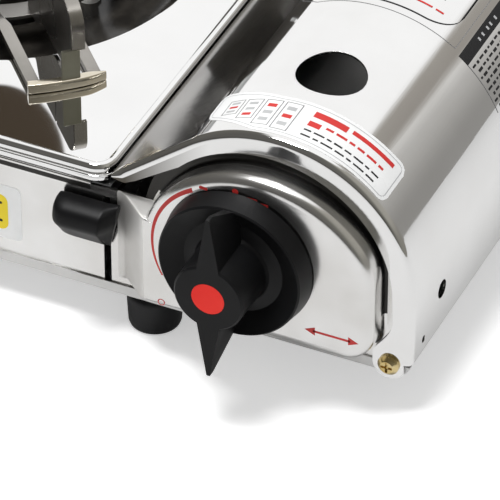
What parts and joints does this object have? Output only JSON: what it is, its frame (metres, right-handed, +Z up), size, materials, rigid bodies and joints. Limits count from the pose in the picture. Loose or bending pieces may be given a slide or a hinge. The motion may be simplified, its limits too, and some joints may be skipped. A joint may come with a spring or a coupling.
{
  "type": "butane cassette stove",
  "caption": "Portable tabletop gas stove: sheet-steel case, drip tray and pan support over a burner, and a hinged arched lid over a cartridge bay with control knob and set lever.",
  "frame": {"origin": "centre of the bounding box on the plane the rubber feet stand on", "axes": "+Z up, -Y to the front where the knob is, +X towards the cartridge bay"},
  "size_m": [0.345, 0.2896, 0.111],
  "materials": {
    "stainless": "bright rolled stainless sheet",
    "galvanised": "dull zinc-coated sheet",
    "enamel": "bright tray sheet",
    "trivet_steel": "polished, heat-browned steel",
    "yellow_zinc": "yellow-passivated zinc",
    "brass": "turned",
    "die_cast": "as cast",
    "black_plastic": "satin",
    "red_plastic": "glossy",
    "white_plastic": "satin",
    "ceramic": "glazed",
    "rubber": "matte",
    "cast_iron": "dark, heat-resistant"
  },
  "bodies": {
    "case": {"base_pan": "stainless", "body_shell": "stainless", "front_panel": "stainless", "partition": "galvanised", "panel_rivets": "galvanised", "drip_tray": "enamel", "tray_screws": "stainless", "burner_bracket": "galvanised", "burner_base": "die_cast", "burner_cap": "cast_iron", "mixing_tube": "galvanised", "air_collar": "galvanised", "jet_nozzle": "brass", "valve_bracket": "galvanised", "valve_screws": "stainless", "valve_body": "die_cast", "regulator_diaphragm": "rubber", "regulator_cover": "galvanised", "regulator_screws": "stainless", "inlet_socket": "brass", "inlet_seal": "rubber", "cartridge_guide": "galvanised", "cartridge_saddles": "galvanised", "piezo_igniter": "white_plastic", "ignition_lead": "white_plastic", "electrode_insulator": "ceramic", "electrode_pin": "stainless", "lever_pivot_pin": "stainless", "lever_clip": "stainless", "carriage_guides": "galvanised", "hinge_screws": "yellow_zinc", "rubber_feet": "rubber", "foot_screws": "galvanised"},
    "knob": {"knob": "black_plastic", "knob_inlay": "red_plastic", "valve_spindle": "brass", "spindle_clip": "stainless", "igniter_cam": "white_plastic"},
    "lever": {"set_lever": "galvanised", "lever_cap": "black_plastic"},
    "carriage": {"cartridge_carriage": "galvanised", "carriage_spring": "stainless"},
    "lid": {"lid": "stainless"},
    "trivet": {"trivet": "trivet_steel"}
  },
  "joints": [
    {"name": "knob_turn", "type": "hinge", "parent": "case", "child": "knob", "pos_m": [0.1069, -0.1178, 0.0604], "axis": [0, -1, 0], "range_deg": [0, 110]},
    {"name": "lever_press", "type": "hinge", "parent": "case", "child": "lever", "pos_m": [0.0468, -0.0258, 0.031], "axis": [1, 0, 0], "range_deg": [0, 11]},
    {"name": "carriage_slide", "type": "slide", "parent": "case", "child": "carriage", "axis": [0, -1, 0], "range_m": [0, 0.00425]},
    {"name": "lid_hinge", "type": "hinge", "parent": "case", "child": "lid", "pos_m": [0.1635, -0.1078, 0.022], "axis": [0, 1, 0], "range_deg": [0, 95]},
    {"name": "trivet_lift", "type": "slide", "parent": "case", "child": "trivet", "axis": [0, 0, 1], "range_m": [0, 0.05]}
  ],
  "couplings": [
    {"joint": "carriage_slide", "follows": "lever_press", "m_per_rad": 0.022}
  ]
}
